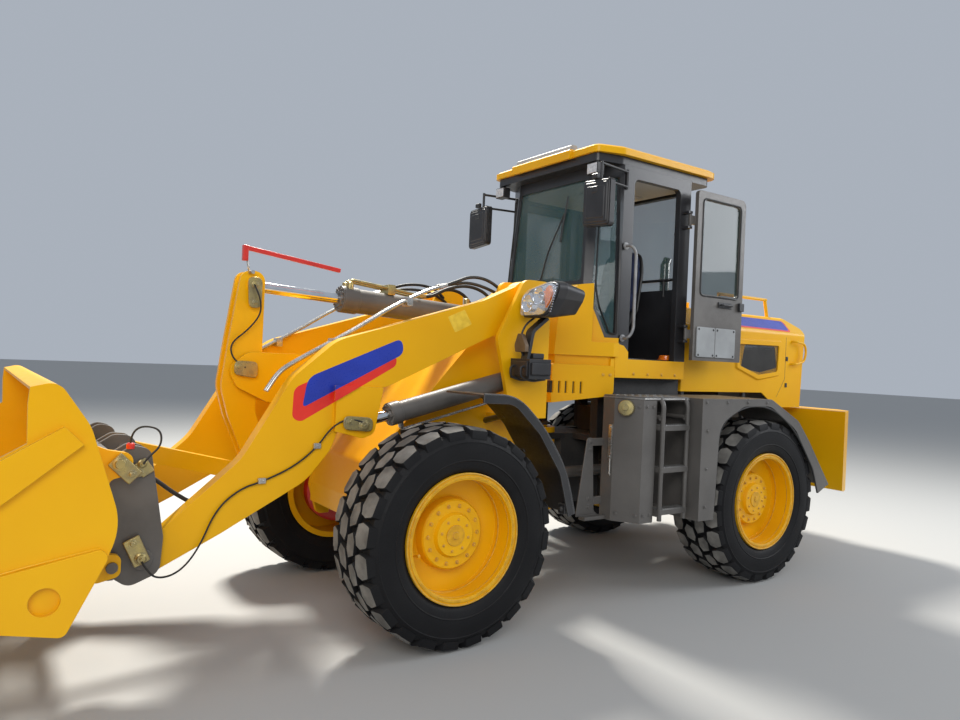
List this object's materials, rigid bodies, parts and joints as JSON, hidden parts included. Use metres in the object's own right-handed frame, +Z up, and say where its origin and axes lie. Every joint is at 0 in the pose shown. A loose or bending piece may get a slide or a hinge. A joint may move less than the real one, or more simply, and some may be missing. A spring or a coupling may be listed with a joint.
{
  "type": "articulated_wheel_loader",
  "caption": "A yellow articulated wheel loader with a bucket on a quick coupler, the left cab door folded back.",
  "frame": {"origin": "on the ground under the middle of the machine's bounding box, boom low as in the picture", "axes": "+X points forward to the bucket, +Y to the machine's left, +Z up"},
  "size_m": [6.7792, 2.12, 3.0013],
  "materials": {
    "paint_yellow": "glossy orange-yellow paint",
    "paint_taupe": "satin dark taupe-grey paint",
    "paint_black": "satin black paint",
    "cast_dark": "painted cast housing, dark grey",
    "steel": "worn bare steel",
    "chrome_rod": "polished hard chrome",
    "rubber_tyre": "dusty black tyre rubber",
    "hose_rubber": "matt black hose",
    "glass_clear": "lightly tinted clear glass",
    "glass_dark": "dark tinted glass",
    "plastic_black": "grained black plastic",
    "plastic_grey": "light grey liner",
    "seat_cloth": "navy blue seat fabric",
    "exhaust_steel": "bright steel pipe",
    "mesh_black": "black perforated sheet"
  },
  "bodies": {
    "rear_frame": {"rear_frame": "paint_black", "rear_axle": "cast_dark", "engine_block": "cast_dark", "radiator": "mesh_black", "engine_hood": "paint_yellow", "hood_grilles": "mesh_black", "counterweight": "paint_yellow", "rear_fenders": "paint_taupe", "side_tanks": "paint_taupe", "ladders": "paint_taupe", "cab_base": "paint_yellow", "cab_frame": "paint_black", "cab_roof": "paint_yellow", "cab_glass": "glass_clear", "seat": "seat_cloth", "steering_column": "plastic_black", "hood_handrails": "paint_yellow", "mirrors": "plastic_black", "exhaust_pipe": "exhaust_steel", "door_hinges": "paint_black", "roof_liner": "paint_black", "roof_lamp_bar": "plastic_grey", "roof_lamps": "plastic_black"},
    "front_frame": {"front_frame": "paint_yellow", "front_axle": "cast_dark", "front_fenders": "paint_taupe", "headlamps": "plastic_black"},
    "boom": {"boom": "paint_yellow"},
    "bell_crank": {"bell_crank": "paint_yellow"},
    "tilt_link": {"tilt_link": "paint_yellow"},
    "bucket": {"quick_coupler": "paint_taupe", "bucket": "paint_yellow", "cutting_edge": "steel"},
    "lift_barrels": {"lift_barrels": "paint_taupe"},
    "lift_rods": {"lift_rods": "chrome_rod"},
    "tilt_barrel": {"tilt_barrel": "paint_taupe"},
    "tilt_rod": {"tilt_rod": "chrome_rod"},
    "steer_barrel_left": {"steer_barrel_left": "paint_taupe"},
    "steer_barrel_right": {"steer_barrel_right": "paint_taupe"},
    "steer_rod_left": {"steer_rod_left": "chrome_rod"},
    "steer_rod_right": {"steer_rod_right": "chrome_rod"},
    "door_left": {"door_left": "paint_taupe", "door_left_glass": "glass_dark"},
    "door_right": {"door_right": "paint_taupe", "door_right_glass": "glass_dark"},
    "wheel_front_left": {"tyre_front_left": "rubber_tyre", "rim_front_left": "paint_yellow"},
    "wheel_front_right": {"tyre_front_right": "rubber_tyre", "rim_front_right": "paint_yellow"},
    "wheel_rear_left": {"tyre_rear_left": "rubber_tyre", "rim_rear_left": "paint_yellow"},
    "wheel_rear_right": {"tyre_rear_right": "rubber_tyre", "rim_rear_right": "paint_yellow"}
  },
  "joints": [
    {"name": "articulation", "type": "hinge", "parent": "rear_frame", "child": "front_frame", "pos_m": [-0.525, 0, 0.75], "axis": [0, 0, 1], "range_deg": [-35, 35]},
    {"name": "boom_lift", "type": "hinge", "parent": "front_frame", "child": "boom", "pos_m": [0.085, 0, 1.875], "axis": [0, -1, 0], "range_deg": [-7, 68]},
    {"name": "bucket_tilt", "type": "hinge", "parent": "boom", "child": "bucket", "pos_m": [2.238, 0, 0.55], "axis": [0, 1, 0], "range_deg": [-32, 120]},
    {"name": "crank_turn", "type": "hinge", "parent": "boom", "child": "bell_crank", "pos_m": [1.665, 0, 1.404], "axis": [0, 1, 0], "range_deg": [-43.5, 12]},
    {"name": "link_turn", "type": "hinge", "parent": "bucket", "child": "tilt_link", "pos_m": [2.245, 0, 0.979], "axis": [0, 1, 0], "range_deg": [-77, 21]},
    {"name": "lift_barrel_turn", "type": "hinge", "parent": "front_frame", "child": "lift_barrels", "pos_m": [0.055, 0, 1.418], "axis": [0, -1, 0], "range_deg": [-7, 63]},
    {"name": "lift_rod_slide", "type": "slide", "parent": "lift_barrels", "child": "lift_rods", "axis": [0.969, 0, -0.2472], "range_m": [-0.06, 0.51]},
    {"name": "tilt_barrel_turn", "type": "hinge", "parent": "front_frame", "child": "tilt_barrel", "pos_m": [-0.005, 0, 1.775], "axis": [0, -1, 0], "range_deg": [-7, 64]},
    {"name": "tilt_rod_slide", "type": "slide", "parent": "tilt_barrel", "child": "tilt_rod", "axis": [0.9986, 0, 0.0533], "range_m": [-0.315, 0.085]},
    {"name": "steer_barrel_left_turn", "type": "hinge", "parent": "rear_frame", "child": "steer_barrel_left", "pos_m": [-0.92, 0.25, 0.75], "axis": [0, 0, 1], "range_deg": [-19, 19]},
    {"name": "steer_rod_left_slide", "type": "slide", "parent": "steer_barrel_left", "child": "steer_rod_left", "axis": [0.9987, 0.0509, 0], "range_m": [-0.165, 0.165]},
    {"name": "steer_barrel_right_turn", "type": "hinge", "parent": "rear_frame", "child": "steer_barrel_right", "pos_m": [-0.92, -0.25, 0.75], "axis": [0, 0, 1], "range_deg": [-19, 19]},
    {"name": "steer_rod_right_slide", "type": "slide", "parent": "steer_barrel_right", "child": "steer_rod_right", "axis": [0.9987, -0.0509, 0], "range_m": [-0.165, 0.165]},
    {"name": "door_left_hinge", "type": "hinge", "parent": "rear_frame", "child": "door_left", "pos_m": [-1.275, 0.65, 2.15], "axis": [0, 0, -1], "range_deg": [0, 175]},
    {"name": "door_right_hinge", "type": "hinge", "parent": "rear_frame", "child": "door_right", "pos_m": [-1.275, -0.65, 2.15], "axis": [0, 0, -1], "range_deg": [0, 175]},
    {"name": "wheel_front_left_spin", "type": "hinge", "parent": "front_frame", "child": "wheel_front_left", "pos_m": [0.775, 0.8, 0.578], "axis": [0, 1, 0], "continuous": true},
    {"name": "wheel_front_right_spin", "type": "hinge", "parent": "front_frame", "child": "wheel_front_right", "pos_m": [0.775, -0.8, 0.578], "axis": [0, 1, 0], "continuous": true},
    {"name": "wheel_rear_left_spin", "type": "hinge", "parent": "rear_frame", "child": "wheel_rear_left", "pos_m": [-1.825, 0.8, 0.578], "axis": [0, 1, 0], "continuous": true},
    {"name": "wheel_rear_right_spin", "type": "hinge", "parent": "rear_frame", "child": "wheel_rear_right", "pos_m": [-1.825, -0.8, 0.578], "axis": [0, 1, 0], "continuous": true}
  ],
  "couplings": [
    {"joint": "crank_turn", "follows": "bucket_tilt", "ratio": -0.36},
    {"joint": "link_turn", "follows": "bucket_tilt", "ratio": -0.64},
    {"joint": "tilt_rod_slide", "follows": "bucket_tilt", "m_per_rad": -0.15},
    {"joint": "lift_barrel_turn", "follows": "boom_lift", "ratio": 0.915},
    {"joint": "lift_rod_slide", "follows": "boom_lift", "m_per_rad": 0.425},
    {"joint": "tilt_barrel_turn", "follows": "boom_lift", "ratio": 0.93},
    {"joint": "steer_barrel_left_turn", "follows": "articulation", "ratio": 0.52},
    {"joint": "steer_rod_left_slide", "follows": "articulation", "m_per_rad": -0.265},
    {"joint": "steer_barrel_right_turn", "follows": "articulation", "ratio": 0.52},
    {"joint": "steer_rod_right_slide", "follows": "articulation", "m_per_rad": 0.265}
  ]
}
